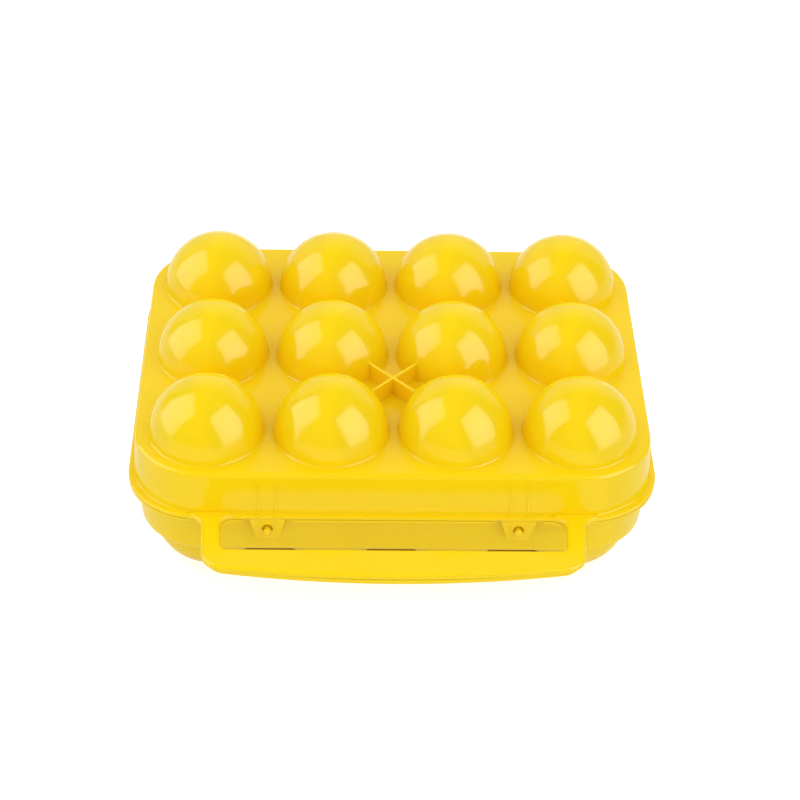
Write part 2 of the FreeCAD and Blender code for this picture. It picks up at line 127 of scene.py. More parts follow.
BASE = SimpleNamespace(
    side=-1, inset=0.55, draft=math.tan(math.radians(5.0)), shoulder=2.5,
    foot=1.2, foot_run=0.03, has_land=True, leg_outer=74.3, bow_drop=5.5, loop_round=0.5)
print(f"dome radius {DOME:.2f}, rim {2 * RIM_WIDTH:.1f} by {2 * RIM_DEPTH:.1f} mm")

# %% [markdown]
# ## Node sums that read as sums
# Both the geometry and the materials need node trees. A wire here is one output of a node, and
# a sum between wires adds the Math node for it, so that `1 - mask` reads as it would on paper.
# Every other node comes from one method, which sets the node's own settings before its sockets,
# because some settings change which sockets there are.


# %% Wrap a node's output
class Wire:
    """One output of a node, in sums with other wires or plain numbers."""

    def __init__(self, tree, socket=None):
        self.tree = tree
        self.socket = socket

    def node(self, kind, settings=None, values=None, output=0):
        """A new node: its settings, then a number or a wire, or a list of wires, a socket."""
        made = self.tree.nodes.new(kind)
        for name, setting in (settings or {}).items():
            if name == "stops":
                fill_ramp(made.color_ramp, setting)
            else:
                setattr(made, name, setting)
        for name, given in (values or {}).items():
            for item in given if isinstance(given, list) else [given]:
                if isinstance(item, Wire):
                    self.tree.links.new(item.socket, made.inputs[name])
                else:
                    made.inputs[name].default_value = item
        return Wire(self.tree, made.outputs[output])

    def maths(self, operation, first, second=0.0):
        return self.node("ShaderNodeMath", {"operation": operation}, {0: first, 1: second})

    def __add__(self, other):
        return self.maths("ADD", self, other)

    def __sub__(self, other):
        return self.maths("SUBTRACT", self, other)

    def __mul__(self, other):
        return self.maths("MULTIPLY", self, other)

    def __truediv__(self, other):
        return self.maths("DIVIDE", self, other)

    def __rsub__(self, other):
        return self.maths("SUBTRACT", other, self)

    def __rtruediv__(self, other):
        return self.maths("DIVIDE", other, self)

    __radd__ = __add__
    __rmul__ = __mul__


def fill_ramp(ramp, stops):
    """Gives a colour ramp these (place, grey) stops."""
    while len(ramp.elements) < len(stops):
        ramp.elements.new(1.0)
    for element, (place, grey) in zip(ramp.elements, stops):
        element.position = place
        element.color = (grey, grey, grey, 1.0)


print("wire sums ready")

# %% [markdown]
# ## Growing meshes from trees
# A geometry tree is a recipe with named inputs. It is run once, on a carrier object, and its
# result is kept as a plain mesh: the modifier goes away, so that nothing is left to evaluate
# when the case is posed or exported.


# %% Make a tree, and grow a mesh from it
def new_tree(name, inputs):
    """An empty geometry tree, and a wire from each of its named inputs."""
    tree = bpy.data.node_groups.new(name, "GeometryNodeTree")
    for label, kind in inputs.items():
        tree.interface.new_socket(label, in_out="INPUT", socket_type="NodeSocket" + kind)
    tree.interface.new_socket("Geometry", in_out="OUTPUT", socket_type="NodeSocketGeometry")
    entry = tree.nodes.new("NodeGroupInput")
    return tree, {label: Wire(tree, entry.outputs[label]) for label in inputs}


def close_tree(geometry, plastic):
    """Ends a tree: real meshes instead of instances, with the plastic on them."""
    real = geometry.node("GeometryNodeRealizeInstances", None, {"Geometry": geometry})
    dressed = real.node("GeometryNodeSetMaterial", None, {"Geometry": real, "Material": plastic})
    leave = dressed.tree.nodes.new("NodeGroupOutput")
    dressed.tree.links.new(dressed.socket, leave.inputs["Geometry"])


def evaluated(thing):
    """A plain mesh of the object as its modifiers leave it."""
    graph = bpy.context.evaluated_depsgraph_get()
    return bpy.data.meshes.new_from_object(thing.evaluated_get(graph), depsgraph=graph)


def new_object(name, mesh):
    """Puts a mesh into the scene under this name."""
    thing = bpy.data.objects.new(name, mesh)
    bpy.context.scene.collection.objects.link(thing)
    return thing


def grow(name, tree, values):
    """Runs the tree with these inputs and gives back its mesh."""
    carrier = new_object(name, bpy.data.meshes.new(name))
    recipe = carrier.modifiers.new(name, "NODES")
    recipe.node_group = tree
    for item in tree.interface.items_tree:
        if item.in_out == "INPUT":
            recipe[item.identifier] = values[item.name]
    mesh = evaluated(carrier)
    bpy.data.objects.remove(carrier)
    return mesh


print("tree helpers ready")

# %% [markdown]
# ## The plastic
# Polypropylene takes a bright polish from its mould and stays slightly soft to light: a little
# of it enters the wall and comes out warmer, which turns the grooves between the domes orange.
# One shader does both halves. Its colour drifts by a percent or two, as pigment does, the
# polish is broken up by a faint cloudiness, and a very low, slow bump bends the reflections the
# way a moulded surface does, which a perfect sphere never would.


# %% Mix the case's plastic
PIGMENT_DEEP = (0.975, 0.670, 0.0035, 1.0)
PIGMENT_PALE = (0.990, 0.705, 0.0050, 1.0)
POLISH = 0.12
HAZE = 0.05
BENDING = 1.49
SHEEN = 0.32
SOFTNESS = 0.35
SOFT_DEPTH = 0.0012
SOFT_COLOURS = (1.0, 0.6, 0.12)
SWAY_STRENGTH = 0.2
SWAY_DEPTH = 0.0006
SKIN_SHARE = 0.02


def case_plastic():
    """Glossy yellow polypropylene."""
    material = bpy.data.materials.new("case_plastic_moulded")
    material.use_nodes = True
    material.node_tree.nodes.clear()
    start = Wire(material.node_tree)
    place = start.node("ShaderNodeTexCoord", None, None, "Object")

    def cloud(scale, detail):
        """Soft noise with this many spots to the metre, roughly."""
        return start.node(
            "ShaderNodeTexNoise", None,
            {"Vector": place, "Scale": scale, "Detail": detail, "Roughness": 0.5}, "Fac")

    drift = cloud(14.0, 2.0)
    haze = cloud(55.0, 3.0)
    skin = cloud(420.0, 1.0)
    sway = cloud(22.0, 0.0)
    colour = start.node(
        "ShaderNodeMix", {"data_type": "RGBA"},
        {"Factor": drift, 6: PIGMENT_DEEP, 7: PIGMENT_PALE}, 2)
    shape = start.node(
        "ShaderNodeBump", None,
        {"Strength": SWAY_STRENGTH, "Distance": SWAY_DEPTH, "Height": sway + skin * SKIN_SHARE})
    plastic = start.node(
        "ShaderNodeBsdfPrincipled", {"subsurface_method": "RANDOM_WALK"},
        {"Base Color": colour, "Roughness": haze * HAZE + POLISH, "Normal": shape,
         "IOR": BENDING, "Specular IOR Level": SHEEN, "Subsurface Weight": SOFTNESS,
         "Subsurface Scale": SOFT_DEPTH, "Subsurface Radius": SOFT_COLOURS})
    leave = material.node_tree.nodes.new("ShaderNodeOutputMaterial")
    material.node_tree.links.new(plastic.socket, leave.inputs["Surface"])
    return material


PLASTIC = case_plastic()
print("mixed", PLASTIC.name)

# %% [markdown]
# ## Turning a section
# Domes, cups, studs and hinge bars are all turned shapes. The tree takes half of a section,
# drawn as points from the rim to the axis, and a number of steps round. It lays out a plain
# grid with one column for each step and one row for each point, and moves every grid point to
# its radius and angle. The seam and the pole close when points in one place are merged.


# %% Build the turning tree
SEAM = 0.001


def turning_tree():
    """Turns the points of a section, radius along X and height along Z, about the Z axis."""
    tree, port = new_tree(
        "turn_section", {"Section": "Object", "Steps": "Int", "Plastic": "Material"})
    start = Wire(tree)
    section = start.node(
        "GeometryNodeObjectInfo", {"transform_space": "ORIGINAL"},
        {"Object": port["Section"]}, "Geometry")
    count = start.node("GeometryNodeAttributeDomainSize", None, {"Geometry": section})
    sheet = start.node(
        "GeometryNodeMeshGrid", None, {"Vertices X": port["Steps"] + 1, "Vertices Y": count})
    index = start.node("GeometryNodeInputIndex")
    step = start.maths("FLOOR", (index + 0.5) / count)
    row = index - step * count
    spot = start.node(
        "GeometryNodeSampleIndex", {"data_type": "FLOAT_VECTOR"},
        {"Geometry": section, "Value": start.node("GeometryNodeInputPosition"), "Index": row})
    radius = start.node("ShaderNodeSeparateXYZ", None, {0: spot}, "X")
    height = start.node("ShaderNodeSeparateXYZ", None, {0: spot}, "Z")
    angle = step * math.tau / port["Steps"]
    turned = start.node("ShaderNodeCombineXYZ", None, {
        "X": radius * start.maths("COSINE", angle),
        "Y": radius * start.maths("SINE", angle),
        "Z": height})
    moved = start.node(
        "GeometryNodeSetPosition", None, {"Geometry": sheet, "Position": turned})
    closed = start.node(
        "GeometryNodeMergeByDistance", None, {"Geometry": moved, "Distance": SEAM})
    close_tree(closed, port["Plastic"])
    return tree


TURN = turning_tree()
print("turning tree has", len(TURN.nodes), "nodes")

# %% [markdown]
# ## A deck full of cells
# The deck is a flat plate with twelve round holes, and a cell stands in each. Modelling one
# cell and repeating it keeps all of them true to each other. The same grid of points places
# the cells and cuts the holes: circles of the cells' foot size lie inside the deck's outline,
# and Fill Curve fills what is between. Foot and hole share their points, so merging them
# closes the skin.


# %% Build the deck tree
FOOT_SEAM = 0.005


def deck_tree():
    """Cells turned from a section, repeated over a grid, in a deck with holes for them."""
    tree, port = new_tree("deck_of_cells", {
        "Section": "Object", "Deck edge": "Object", "Columns": "Int", "Rows": "Int",
        "Pitch": "Float", "Steps": "Int", "Foot radius": "Float", "Level": "Float",
        "Plastic": "Material"})
    start = Wire(tree)
    cell = start.node("GeometryNodeGroup", {"node_tree": TURN}, {
        "Section": port["Section"], "Steps": port["Steps"], "Plastic": port["Plastic"]})
    spots = start.node("GeometryNodeMeshGrid", None, {
        "Vertices X": port["Columns"], "Vertices Y": port["Rows"],
        "Size X": (port["Columns"] - 1) * port["Pitch"],
        "Size Y": (port["Rows"] - 1) * port["Pitch"]})
    cells = start.node(
        "GeometryNodeInstanceOnPoints", None, {"Points": spots, "Instance": cell})
    hole = start.node("GeometryNodeCurvePrimitiveCircle", None, {
        "Resolution": port["Steps"], "Radius": port["Foot radius"]})
    holes = start.node(
        "GeometryNodeInstanceOnPoints", None, {"Points": spots, "Instance": hole})
    edge = start.node(
        "GeometryNodeObjectInfo", {"transform_space": "ORIGINAL"},
        {"Object": port["Deck edge"]}, "Geometry")
    outline = start.node("GeometryNodeMeshToCurve", None, {"Mesh": edge})
    real_holes = start.node("GeometryNodeRealizeInstances", None, {"Geometry": holes})
    lines = start.node(
        "GeometryNodeJoinGeometry", None, {"Geometry": [outline, real_holes]})
    plate = start.node("GeometryNodeFillCurve", {"mode": "TRIANGLES"}, {"Curve": lines})
    lift = start.node("ShaderNodeCombineXYZ", None, {"Z": port["Level"]})
    lifted = start.node(
        "GeometryNodeTransform", None, {"Geometry": plate, "Translation": lift})
    real_cells = start.node("GeometryNodeRealizeInstances", None, {"Geometry": cells})
    both = start.node(
        "GeometryNodeJoinGeometry", None, {"Geometry": [lifted, real_cells]})
    closed = start.node(
        "GeometryNodeMergeByDistance", None, {"Geometry": both, "Distance": FOOT_SEAM})
    close_tree(closed, port["Plastic"])
    return tree


DECK_OF_CELLS = deck_tree()
print("deck tree has", len(DECK_OF_CELLS.nodes), "nodes")

# %% [markdown]
# ## Drawing with arcs
# An outline is written as its corners, and each round stretch as an arc with a middle, a
# radius and two angles. A rounded rectangle is four arcs, and its straight runs get a point
# close to each end: there the smooth shading of the corner stops, and the flat stays flat.


# %% Draw arcs and rounded rectangles
def arc(middle, radius, first, last, steps):
    """Points on a circle from one angle to another, in degrees, both ends included."""
    turns = [math.radians(first + (last - first) * step / steps) for step in range(steps + 1)]
    return [(middle[0] + radius * math.cos(turn), middle[1] + radius * math.sin(turn))
            for turn in turns]


CORNER_STEPS = 28
RUN_STOPS = (0.008, 0.25, 0.5, 0.75, 0.992)


def rounded_ring(half_width, half_depth, corner, level):
    """The points of a rounded rectangle at one level, anticlockwise from the right side."""
    middles = [(across * (half_width - corner), along * (half_depth - corner))
               for across, along in ((1, 1), (-1, 1), (-1, -1), (1, -1))]
    corners = [arc(middle, corner, 90 * number, 90 * number + 90, CORNER_STEPS)
               for number, middle in enumerate(middles)]
    points = []
    for number, quarter in enumerate(corners):
        start = Vector(quarter[-1])
        end = Vector(corners[(number + 1) % len(corners)][0])
        points += quarter + [tuple(start.lerp(end, stop)) for stop in RUN_STOPS]
    return [(across, along, level) for across, along in points]


def wall_ring(inset, level):
    """A ring that lies this far inside the wall's outline at the parting plane."""
    return rounded_ring(HALF_WIDTH - inset, HALF_DEPTH - inset, CORNER - inset, level)


def rim_ring(inset, level):
    """A ring that lies this far inside the rim's edge."""
    return rounded_ring(RIM_WIDTH - inset, RIM_DEPTH - inset, CORNER - inset, level)


print("one ring has", len(rim_ring(0, 0)), "points")

# %% [markdown]
# ## Meshes from rings
# A skin is a stack of rings with faces between neighbours. None may be left, or light would
# leak through the wall.


# %% Join rings and skins into closed meshes
MERGE = 0.004


def skin_of(rings, caps=False):
    """Faces between neighbouring rings, and over the two ends if caps are asked for."""
    count = len(rings[0])
    points = [point for ring in rings for point in ring]
    faces = []
    for level in range(len(rings) - 1):
        for place in range(count):
            after = (place + 1) % count
            low, high = level * count, (level + 1) * count
            faces.append((low + place, low + after, high + after, high + place))
    if caps:
        faces.append(tuple(reversed(range(count))))
        faces.append(tuple(range(len(points) - count, len(points))))
    mesh = bpy.data.meshes.new("skin")
    mesh.from_pydata(points, [], faces)
    return mesh


def closed_mesh(name, parts):
    """One mesh of several, merged where they meet, with every face outwards."""
    build = bmesh.new()
    for part in parts:
        build.from_mesh(part)
    bmesh.ops.remove_doubles(build, verts=build.verts, dist=MERGE)
    bmesh.ops.recalc_face_normals(build, faces=build.faces)
    for face in build.faces:
        face.material_index = 0
        face.smooth = True
    loose = sum(1 for edge in build.edges if len(edge.link_faces) != 2)
    mesh = bpy.data.meshes.new(name)
    build.to_mesh(mesh)
    build.free()
    mesh.materials.clear()
    mesh.materials.append(PLASTIC)
    print(f"{name}: {len(mesh.polygons)} faces, {loose} open edges")
    return mesh


def line_object(name, points, ring=False):
    """A mesh of points and edges only, for a tree to read."""
    edges = [(place, place + 1) for place in range(len(points) - 1)]
    if ring:
        edges.append((len(points) - 1, 0))
    mesh = bpy.data.meshes.new(name)
    mesh.from_pydata(points, edges, [])
    return new_object(name, mesh)


print("mesh helpers ready")

# %% [markdown]
# ## The cell's section
# Each cell is a ball that stands on the deck with a small foot fillet. Seen from inside, the
# same section lies one wall thickness further in, round the same middles, so one function
# draws both. A dome runs up to its pole. A cup of the base ends in a small flat land, with a
# soft edge, and stands on it. A short flat step outside the foot keeps the deck's shading flat.

# %% Draw half a cell
FOOT_STEPS = 7
BALL_STEPS = 26
LAND_STEPS = 4
CELL_STEPS = 80
LAND_LEVEL = math.sqrt(DOME ** 2 - LAND ** 2)
LAND_INNER = 0.9


def foot_reach(half):
    """The radius at which a cell's foot fillet meets the deck."""
    return math.sqrt((DOME + half.foot) ** 2 - half.foot ** 2)


def cell_points(half, skin):
    """Half a cell from its foot to its axis, as (radius, level); skin 0 is the outside."""
    ball = DOME - skin
    reach = foot_reach(half)
    turn = math.degrees(math.asin(half.foot / (DOME + half.foot)))
    points = [(reach + half.foot_run, DECK - skin)]
    points += arc((reach, DECK + half.foot), half.foot + skin, 270, 180 + turn, FOOT_STEPS)
    if not half.has_land:
        return points + arc((0, DECK), ball, turn, 90, BALL_STEPS)[1:]
    flat = DECK + LAND_LEVEL - skin
    edge = LAND_EDGE + skin
    drop = flat - edge - DECK
    out = math.sqrt((ball - edge) ** 2 - drop ** 2)
    lean = math.degrees(math.atan2(drop, out))
    points += arc((0, DECK), ball, turn, lean, BALL_STEPS)[1:]
    points += arc((out, flat - edge), edge, lean, 90, LAND_STEPS)[1:]
    return points + [(out * LAND_INNER, flat), (0.0, flat)]


def turned_object(name, points, side=1):
    """A section for the turning tree, in the XZ plane."""
    return line_object(name, [(radius, 0.0, side * level) for radius, level in points])


print("dome section:", len(cell_points(LID, 0)), "points")

# %% [markdown]
# ## The wall's section
# From the deck's edge the outside runs round the shoulder, down the drafted wall, through a
# small hollow onto the rim, over the rim's soft edge, along the parting plane, and back up the
# inside. The list holds rings instead of points, because the rim keeps its own corner radius
# while the wall's corners tighten as they rise.

# %% Draw the wall as rings
SHOULDER_STEPS = 8
EDGE_STEPS = 5
PLANE_STEPS = 3
WALL_STOPS = (0.3, 0.5, 1.0)
RIM_EDGE = 0.5
RIM_HOLLOW = 0.6
PLANE_EDGE = 0.22
SHADING_RUN = 0.3


def wall_inset(half, level):
    """How far the drafted wall has drawn in at this level."""
    return half.inset + (level - HALF_GAP) * half.draft


def shoulder_arc(half, skin):
    """(inset, level) points round a shoulder from the deck down to the drafted wall."""
    radius = half.shoulder - skin
    deck = DECK - skin
    lean = math.degrees(math.atan(half.draft))
    middle = wall_inset(half, deck) + skin + radius / math.tan(math.radians((90 + lean) / 2))
    return [(middle - across, level) for across, level
            in arc((0, deck - radius), radius, 90, lean, SHOULDER_STEPS)]


def wall_rings(half):
    """All rings from the deck's outer edge round the rim to the inner deck's edge."""
    outside = shoulder_arc(half, 0.0)
    rings = [wall_ring(outside[0][0] + half.foot_run, DECK)]
    rings += [wall_ring(*spot) for spot in outside]
    lean = math.degrees(math.atan(half.draft))
    hollow_level = RIM_TOP + RIM_HOLLOW
    hollow_middle = RIM_HOLLOW / math.cos(math.radians(lean)) - wall_inset(half, hollow_level)
    hollow = arc((hollow_middle, hollow_level), RIM_HOLLOW, 180 + lean, 270, EDGE_STEPS)
    for stop in WALL_STOPS:
        level = outside[-1][1] + (hollow[0][1] - outside[-1][1]) * stop
        rings.append(wall_ring(wall_inset(half, level), level))
    rings += [wall_ring(-out, level) for out, level in hollow[1:]]
    rings += [rim_ring(RIM_EDGE - out, level) for out, level
              in arc((0, RIM_TOP - RIM_EDGE), RIM_EDGE, 90, 0, EDGE_STEPS)]
    rings += [rim_ring(PLANE_EDGE - out, level) for out, level
              in arc((0, HALF_GAP + PLANE_EDGE), PLANE_EDGE, 0, -90, PLANE_STEPS)]
    rings += [wall_ring(half.inset + WALL - PLANE_EDGE - out, level) for out, level
              in arc((0, HALF_GAP + PLANE_EDGE), -PLANE_EDGE, 90, 0, PLANE_STEPS)]
    inside = shoulder_arc(half, WALL)
    rings += [wall_ring(*spot) for spot in reversed(inside)]
    rings.append(wall_ring(inside[0][0] + half.foot_run, DECK - WALL))
    return rings


print("wall:", len(wall_rings(LID)), "rings")

# %% [markdown]
# ## One shell
# Lid and base are the same recipe, one of them upside down and with lands on its cells. Two
# decks of cells, outside and inside, and the wall between them make the closed shell.


# %% Make a shell
def deck_skin(half, skin, edge_ring):
    """One face of the deck with its cells, grown from the deck tree."""
    section = turned_object("cell_section", cell_points(half, skin), half.side)
    edge = line_object("deck_edge", edge_ring, ring=True)
    mesh = grow("deck_skin", DECK_OF_CELLS, {
        "Section": section, "Deck edge": edge, "Columns": len(columns), "Rows": len(rows),
        "Pitch": PITCH, "Steps": CELL_STEPS, "Foot radius": foot_reach(half) + half.foot_run,
        "Level": half.side * (DECK - skin), "Plastic": PLASTIC})
    bpy.data.objects.remove(section)
    bpy.data.objects.remove(edge)
    return mesh


def shell(name, half):
    """The shell of the lid or of the base."""
    rings = [[(x, y, half.side * z) for x, y, z in ring] for ring in wall_rings(half)]
    return closed_mesh(name, [
        deck_skin(half, 0.0, rings[0]), deck_skin(half, WALL, rings[-1]), skin_of(rings)])


lid_shell = shell("lid_shell", LID)
base_shell = shell("base_shell", BASE)

# %% [markdown]
# ## Slabs with soft edges
# The handle, the ribs, the tabs and the hinge parts are flat mouldings with rounded edges. Each
# is an outline, drawn once and raised through a few levels. At each level the outline is drawn
# in by a little, along the bend of a quarter circle, and that makes the soft edge.


# %% Raise an outline into a slab
SHARPEST = 0.5
SLAB_STEPS = 4


def drawn_in(outline, inset):
    """The outline moved inwards by inset, each point along the middle of its two sides."""
    count = len(outline)
    moved = []
    for place in range(count):
        before, here, after = (Vector(outline[(place + step) % count]) for step in (-1, 0, 1))
        first = (here - before).normalized()
        second = (after - here).normalized()
        normals = [Vector((-run.y, run.x)) for run in (first, second)]
        way = normals[0] + normals[1]
        moved.append(here + way * (inset / max(way.length_squared / 2, SHARPEST)))
    return moved


def soft_levels(low, high, low_edge, high_edge, steps=SLAB_STEPS):
    """(inset, level) pairs from the low face to the high one, round both edges."""
    levels = []
    if low_edge:
        levels += [(low_edge + SHADING_RUN / 2, low)]
        levels += [(low_edge - out, level) for out, level
                   in arc((0, low + low_edge), low_edge, -90, 0, steps)]
    else:
        levels += [(0.0, low)]
    if high_edge:
        levels += [(high_edge - out, level) for out, level
                   in arc((0, high - high_edge), high_edge, 0, 90, steps)]
        levels += [(high_edge + SHADING_RUN / 2, high)]
    else:
        levels += [(0.0, high)]
    return levels


def slab(name, outline, levels, turn=Matrix()):
    """A closed slab on an anticlockwise outline; turn takes it from the XY plane to its place."""
    rings = [[(spot.x, spot.y, level) for spot in drawn_in(outline, inset)]
             for inset, level in levels]
    mesh = skin_of(rings, caps=True)
    mesh.transform(turn)
    return closed_mesh(name, [mesh])


print("slab helper ready")

# %% [markdown]
# ## The handle
# Each half of the handle is one flat loop: two legs that flare into the rim and lean inwards,
# and a grip whose front bows outwards. The lid's half is a little larger, so that its edge
# stands proud of the base's. The bow is one large arc. Each grip corner is an arc that touches
# the leg and the bow, so its middle lies on a line beside the leg, run along it until it is as
# far inside the bow as its own radius.

# %% Draw the handle's outline
LEG_INNER = 68.6
LEG_LEAN = 3.5
WINDOW_DEPTH = 19.1
GRIP_INNER = RIM_DEPTH + WINDOW_DEPTH
GRIP_FRONT = MIDDLE.y - cad_box[0].y * TO_MM
LOOP_THICK = 2.2
ROOT_FILLET = 5.5
GRIP_CORNER = 9.0
WINDOW_CORNER = 3.0
ROOT_STEPS = 10
GRIP_STEPS = 14
BOW_STEPS = 40
WINDOW_STEPS = 8
ALONG_LEG = Vector((-math.sin(math.radians(LEG_LEAN)), -math.cos(math.radians(LEG_LEAN))))
ACROSS_LEG = Vector((ALONG_LEG.y, -ALONG_LEG.x))


def loop_outline(half):
    """The handle's plan, anticlockwise, open towards the wall."""
    wall = half.inset - ROOT
    bow = (LEG_INNER ** 2 + half.bow_drop ** 2) / (2 * half.bow_drop)
    bow_middle = Vector((0.0, bow - GRIP_FRONT))
    root = Vector((half.leg_outer + ROOT_FILLET, -RIM_DEPTH - ROOT_FILLET))
    start = root + ACROSS_LEG * (ROOT_FILLET + GRIP_CORNER) - bow_middle
    off = start.dot(ACROSS_LEG)
    run = math.sqrt((bow - GRIP_CORNER) ** 2 - off ** 2) - start.dot(ALONG_LEG)
    corner = start + ALONG_LEG * run
    turn = math.degrees(math.atan2(corner.y, corner.x))
    leg = [(root.x, wall)] + arc(root, ROOT_FILLET, 90, 180 - LEG_LEAN, ROOT_STEPS)
    leg += arc(bow_middle + corner, GRIP_CORNER, -LEG_LEAN, turn, GRIP_STEPS)
    front = arc(bow_middle, bow, -180 - turn, turn, BOW_STEPS)[1:-1]
    root.x = LEG_INNER - ROOT_FILLET
    foot = root - ACROSS_LEG * ROOT_FILLET
    low = WINDOW_CORNER * (1 + ALONG_LEG.x) - GRIP_INNER
    low_corner = foot + ALONG_LEG * ((low - foot.y) / ALONG_LEG.y) + ACROSS_LEG * WINDOW_CORNER
    window = [(root.x, wall)] + arc(root, ROOT_FILLET, 90, -LEG_LEAN, ROOT_STEPS)
    window += arc(low_corner, WINDOW_CORNER, -LEG_LEAN, -90, WINDOW_STEPS)
    left = [(-across, along) for across, along in leg]
    left_window = [(-across, along) for across, along in reversed(window)]
    return left + front + leg[::-1] + window + left_window


def handle(name, half):
    """Half of the handle, its far edges rounded for the hand."""
    levels = soft_levels(HALF_GAP, HALF_GAP + LOOP_THICK, PLANE_EDGE, half.loop_round, EDGE_STEPS)
    flip = Matrix.Scale(half.side, 4, (0, 0, 1))
    return slab(name, loop_outline(half), levels, flip)


lid_handle = handle("lid_handle", LID)
base_handle = handle("base_handle", BASE)

# %% [markdown]
# ## Joining parts into one moulding
# In the tool, shell, handle, ribs and hinge parts are one cavity, so here they are joined too.
# Each is a closed mesh, and a Boolean adds or cuts it. What is left over is a clean shell whose
# wide faces would still catch a false shine from their small rounded neighbours, so the faces
# are weighted by their size, and only real corners are kept sharp.

# %% Join, cut and shade
SHARP = math.radians(38)
WIDE_FACES = 80
SOFT_EDGE = 0.3


def joined(name, base, added=(), cut=()):
    """One closed mesh of the base and all that is added, less what is cut."""
    thing = new_object(name, base)
    tools = []
    for operation, parts in (("UNION", added), ("DIFFERENCE", cut)):
        for part in parts:
            tools.append(new_object("tool", part))
            step = thing.modifiers.new("join", "BOOLEAN")
            step.operation = operation
            step.solver = "MANIFOLD"
            step.object = tools[-1]
    mesh = evaluated(thing)
    for item in [thing, *tools]:
        bpy.data.objects.remove(item)
    return closed_mesh(name, [mesh])


def shaded(name, mesh):
    """The mesh with smooth wide faces and sharp corners."""
    mesh.set_sharp_from_angle(angle=SHARP)
    thing = new_object(name, mesh)
    weigh = thing.modifiers.new("weigh", "WEIGHTED_NORMAL")
    weigh.keep_sharp = True
    weigh.weight = WIDE_FACES
    result = evaluated(thing)
    bpy.data.objects.remove(thing)
    return result


FACING_SIDE = Matrix(((0, 0, 1, 0), (1, 0, 0, 0), (0, 1, 0, 0), (0, 0, 0, 1)))
FACING_FRONT = Matrix.Rotation(math.radians(90), 4, "X")


def at(across=0.0, along=0.0, level=0.0):
    return Matrix.Translation((across, along, level))


def turned(name, points, steps, turn):
    """A closed turned shape from its section, moved by turn."""
    section = turned_object(name, points)
    mesh = grow(name, TURN, {"Section": section, "Steps": steps, "Plastic": PLASTIC})
    bpy.data.objects.remove(section)
    mesh.transform(turn)
    return closed_mesh(name, [mesh])


def side_slab(name, outline, width, across, edge=SOFT_EDGE):
    """A slab seen from the side: its outline runs along Y and Z, its width along X."""
    return slab(name, outline, soft_levels(-width / 2, width / 2, edge, edge),
                at(across) @ FACING_SIDE)


print("joining helpers ready")

# %% [markdown]
# ## The hinge
# At the back two claws of the lid snap over round bars of the base, each bar held between two
# lugs. The claw is a ring with a mouth, open downwards, so that it can be pushed on and still
# turn by half a turn. Their middles lie on the frame's hinge axis.

# %% Make claws, bars and lugs
HINGE = hinge_spot - MIDDLE
HANDS = (-1, 1)
HINGE_OFFSET = 50.0
BAR = 1.5
BAR_PLAY = 0.25
BAR_STEPS = 40
CLAW_INNER = BAR + BAR_PLAY
CLAW_THICK = 1.3
CLAW_OUTER = CLAW_INNER + CLAW_THICK
CLAW_WIDTH = 12.0
CLAW_RISE = 0.9
MOUTH = (235, 345)
LUG = 2.3
LUG_THICK = 2.4
LUG_STEPS = 36
SIDE_PLAY = 0.4
LUG_MIDDLE = CLAW_WIDTH / 2 + SIDE_PLAY + LUG_THICK / 2
GUSSET_DROP = 3.0


def claw(hand):
    """A hook of the lid, round the hinge axis."""
    middle = (HINGE.y, 0.0)
    foot = math.degrees(math.asin(HALF_GAP / CLAW_OUTER))
    outline = [(ROOT, HALF_GAP)]
    outline += arc(middle, CLAW_OUTER, 180 - foot, MOUTH[0], 8)
    outline += arc(middle, CLAW_INNER, MOUTH[0], MOUTH[1] - 360, 32)
    outline += arc(middle, CLAW_OUTER, MOUTH[1] - 360, 90, 18)
    outline.append((ROOT, RIM_TOP + CLAW_RISE))
    return side_slab("claw", outline, CLAW_WIDTH, hand * HINGE_OFFSET)


def lug(place):
    """A cheek of the base that holds one end of a bar."""
    foot = math.degrees(math.asin(HALF_GAP / LUG))
    root = ROOT - BASE.inset
    outline = [(root, -LUG - GUSSET_DROP)]
    outline += arc((HINGE.y, 0.0), LUG, -90, 180 + foot, LUG_STEPS)
    outline.append((root, -HALF_GAP))
    return side_slab("lug", outline, LUG_THICK, place)


def bar(hand):
    """The round bar, a little shorter than the lugs' outsides."""
    reach = LUG_MIDDLE
    section = [(0.0, -reach), (BAR, -reach), (BAR, reach), (0.0, reach)]
    spin = Matrix.Rotation(math.radians(90), 4, "Y")
    return turned("bar", section, BAR_STEPS, at(hand * HINGE_OFFSET, HINGE.y, HINGE.z) @ spin)


claws = [claw(hand) for hand in HANDS]
hinge_parts = [bar(hand) for hand in HANDS]
hinge_parts += [lug(hand * HINGE_OFFSET + side * LUG_MIDDLE) for hand in HANDS for side in HANDS]

# %% [markdown]
# ## The latches
# A ball-headed stud stands on the base's wall in a gap of its rim. The lid's tab has a round
# hole that is pressed over the ball. Two fine raised lines run over each latch, down the wall
# and over the rim, and go on down the tab. The frame's bend axes give the latches' places.

# %% Make studs, gaps, lines and tabs
tab_spots = {
    joint["child"]: Vector(joint["pos_m"]) * TO_MM - MIDDLE
    for joint in frame["joints"] if joint["child"].startswith("tab")
}
STUD_LEVEL = -4.9
STUD_NECK = 1.2
STUD_HEAD = 1.65
HEAD_LIFT = 1.6
STUD_WELD = 0.5
STUD_STEPS = 32
HEAD_STEPS = 14
NOTCH_WIDTH = 20.0
NOTCH_CLEAR = 0.02
NOTCH_BELOW = 1.0
NOTCH_BEFORE = 3.0
LINE_SPACING = 6.7
LINE_WIDTH = 1.0
LINE_EDGE = 0.22
LINE_PROUD = 0.25
LINE_TOP = 17.3
LINE_TAIL = 3.2
LINE_BREAK = 0.5
LINE_ROOT = 0.5
TAB_TOP = 14.4
TAB_BOTTOM = 9.0
TAB_DROP = 10.3
TAB_FOOT = HALF_GAP - TAB_DROP
TAB_THICK = 1.4
TAB_CORNER = 2.5
